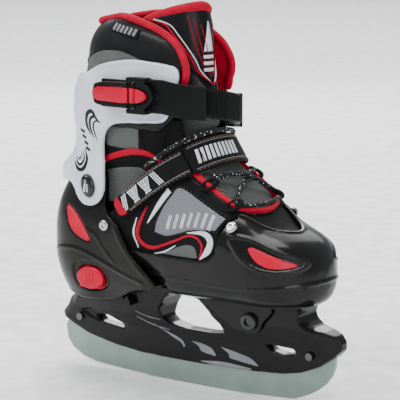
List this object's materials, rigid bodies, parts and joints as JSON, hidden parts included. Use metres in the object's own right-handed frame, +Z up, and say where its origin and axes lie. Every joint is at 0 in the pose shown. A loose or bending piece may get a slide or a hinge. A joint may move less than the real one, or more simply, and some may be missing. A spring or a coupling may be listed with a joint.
{
  "type": "ice skate",
  "caption": "Adjustable child's ice skate for the right foot: hard two-part shell on a steel blade, hinged white cuff, ratchet buckle, instep strap and laces.",
  "frame": {"origin": "middle of the blade's running edge, where it rests on the ice", "axes": "+X to the toe, +Z up, +Y to the inner (medial) side of the right foot"},
  "size_m": [0.2705, 0.0997, 0.302],
  "materials": {
    "steel": "satin ground steel",
    "zinc": "bright zinc plated",
    "rivet_steel": "polished",
    "holder_black": "glossy injection moulded nylon with printed flames",
    "bolt_black": "black oxide",
    "shell_black": "semi gloss moulded polypropylene",
    "vent_red": "glossy moulded red",
    "cuff_white": "glossy moulded white",
    "cap_black": "glossy black",
    "buckle_black": "satin moulded nylon",
    "upper_mesh": "woven mesh with overlays",
    "gusset_mesh": "stretch mesh with red band",
    "collar_black": "padded black synthetic, red binding",
    "tongue_black": "coated textile with piping",
    "lining_red": "brushed tricot lining",
    "webbing_black": "woven webbing",
    "lace_black": "braided cord with white flecks",
    "foam_grey": "moulded foam",
    "guide_grey": "acetal"
  },
  "bodies": {
    "front": {"blade": "steel", "blade_holder": "holder_black", "blade_screws": "zinc", "toe_lugs": "shell_black", "cross_bolt": "bolt_black", "cross_bolt_nut": "bolt_black", "sole_screws": "zinc", "front_shell": "shell_black", "toe_vent_lenses": "vent_red", "front_rivets": "rivet_steel", "boot_upper": "upper_mesh", "footbed": "foam_grey", "tongue_lower": "gusset_mesh", "lace": "lace_black", "lace_loops": "webbing_black", "instep_strap": "webbing_black", "instep_strap_rivet": "rivet_steel", "size_rack": "guide_grey"},
    "heel": {"rear_shell": "shell_black", "heel_vent_inserts": "vent_red", "heel_rivets": "rivet_steel", "heel_pad": "lining_red", "heel_cushion": "foam_grey", "heel_guides": "guide_grey", "ankle_pivots": "zinc", "ankle_gusset": "gusset_mesh", "tongue_flex": "gusset_mesh", "button_spring": "zinc"},
    "size_button": {"size_button": "vent_red"},
    "cuff": {"cuff": "cuff_white", "pivot_caps": "cap_black", "collar": "collar_black", "tongue_upper": "tongue_black", "buckle_base": "buckle_black", "buckle_rivets": "rivet_steel", "buckle_pin": "zinc", "buckle_inlay": "vent_red", "ladder_strap": "buckle_black", "ladder_end": "buckle_black", "ladder_rivet": "rivet_steel"},
    "buckle_lever": {"buckle_lever": "buckle_black", "lever_inlay": "vent_red"},
    "instep_flap": {"instep_flap": "webbing_black"}
  },
  "joints": [
    {"name": "size_slide", "type": "slide", "parent": "front", "child": "heel", "axis": [-1, 0, 0], "range_m": [0, 0.02]},
    {"name": "size_button_press", "type": "slide", "parent": "heel", "child": "size_button", "axis": [0, 1, 0], "range_m": [0, 0.003], "stiffness_N_per_m": 300, "springref_m": -0.002, "deforming": ["button_spring"]},
    {"name": "cuff_flex", "type": "hinge", "parent": "heel", "child": "cuff", "pos_m": [-0.0755, 0, 0.157], "axis": [0, 1, 0], "range_deg": [-2, 5], "deforming": ["ankle_gusset", "tongue_flex"]},
    {"name": "buckle_open", "type": "hinge", "parent": "cuff", "child": "buckle_lever", "pos_m": [-0.024, -0.0476, 0.2325], "axis": [0, 0, 1], "range_deg": [0, 90]},
    {"name": "instep_flap_peel", "type": "hinge", "parent": "front", "child": "instep_flap", "pos_m": [0.01953, -0.0373, 0.18464], "axis": [-0.5592, 0, 0.829], "range_deg": [0, 90]}
  ]
}
